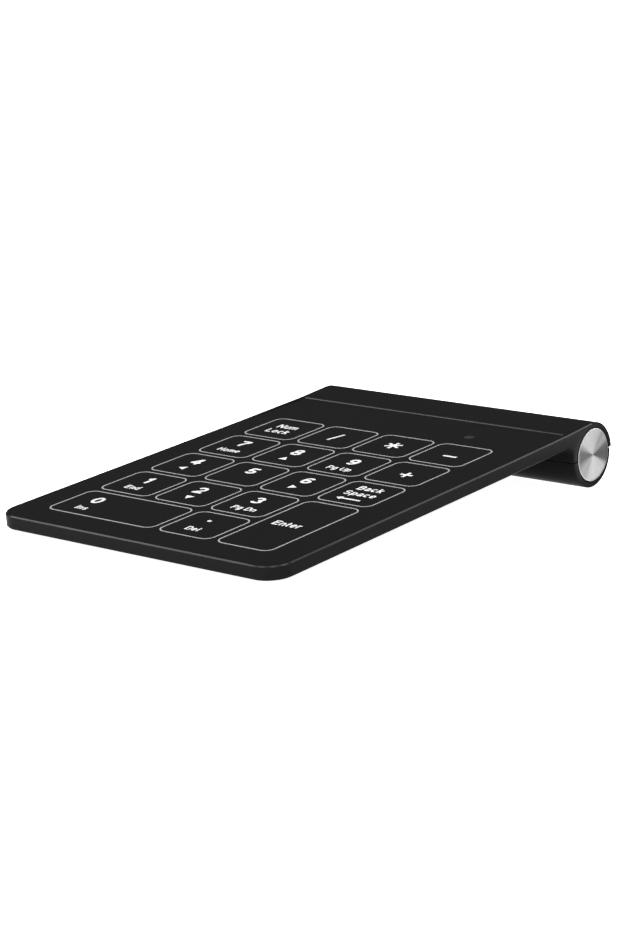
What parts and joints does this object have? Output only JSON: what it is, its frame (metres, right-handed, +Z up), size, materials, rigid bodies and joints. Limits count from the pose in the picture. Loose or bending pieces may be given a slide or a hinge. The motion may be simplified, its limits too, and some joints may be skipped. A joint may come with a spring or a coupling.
{
  "type": "numeric keypad",
  "caption": "Slim touch numeric keypad: a thin flat slab with printed key outlines, raised at the back on a battery tube with spun metal end discs.",
  "frame": {"origin": "centre of the footprint's bounding box, on the plane of the feet's soles", "axes": "+X to the right of a person using it, +Y from the front edge back to the battery tube, +Z up"},
  "size_m": [0.093, 0.1434, 0.019],
  "materials": {
    "shell": "satin, finely grained",
    "sheet": "matte hard coat",
    "ink": "printed",
    "window": "smoked",
    "adhesive": "film",
    "board": "solder mask",
    "copper": "plated",
    "chip": "moulded",
    "passive": "sintered",
    "connector": "moulded",
    "flex": "polyimide",
    "steel": "plated",
    "rubber": "matte",
    "control": "matte",
    "cell": "printed sleeve over a metal can",
    "spun": "spun, with a bright bevelled rim",
    "wire": "insulated"
  },
  "bodies": {
    "keypad": {"top_housing": "shell", "touch_sheet": "sheet", "key_outlines": "ink", "led_window": "window", "sheet_adhesive": "adhesive", "sensor_board": "board", "key_electrodes": "copper", "touch_controller": "chip", "radio_chip": "chip", "crystal": "steel", "passives": "passive", "antenna": "copper", "status_led": "connector", "sensor_connector": "connector", "flex_cable": "flex", "control_board": "board", "control_connector": "connector", "switch_body": "steel", "pair_switch": "steel", "bottom_plate": "shell", "plate_screws": "steel", "front_feet": "rubber", "battery_cell": "cell", "negative_spring": "steel", "negative_contact": "steel", "positive_contact": "steel", "bulkheads": "shell", "end_plugs": "shell", "end_discs": "spun", "battery_leads": "wire"},
    "cover": {"battery_cover": "shell", "rear_foot": "rubber"},
    "knob": {"switch_knob": "control"},
    "button": {"pair_button": "control"}
  },
  "joints": [
    {"name": "battery_cover_pull", "type": "slide", "parent": "keypad", "child": "cover", "axis": [0, 0.1063, -0.9943], "range_m": [0, 0.03]},
    {"name": "power_switch_slide", "type": "slide", "parent": "keypad", "child": "knob", "axis": [1, 0, 0], "range_m": [0, 0.002]},
    {"name": "pairing_button_push", "type": "slide", "parent": "keypad", "child": "button", "axis": [0, 0.9943, 0.1063], "range_m": [0, 0.0004], "stiffness_N_per_m": 300, "springref_m": -0.0005}
  ]
}
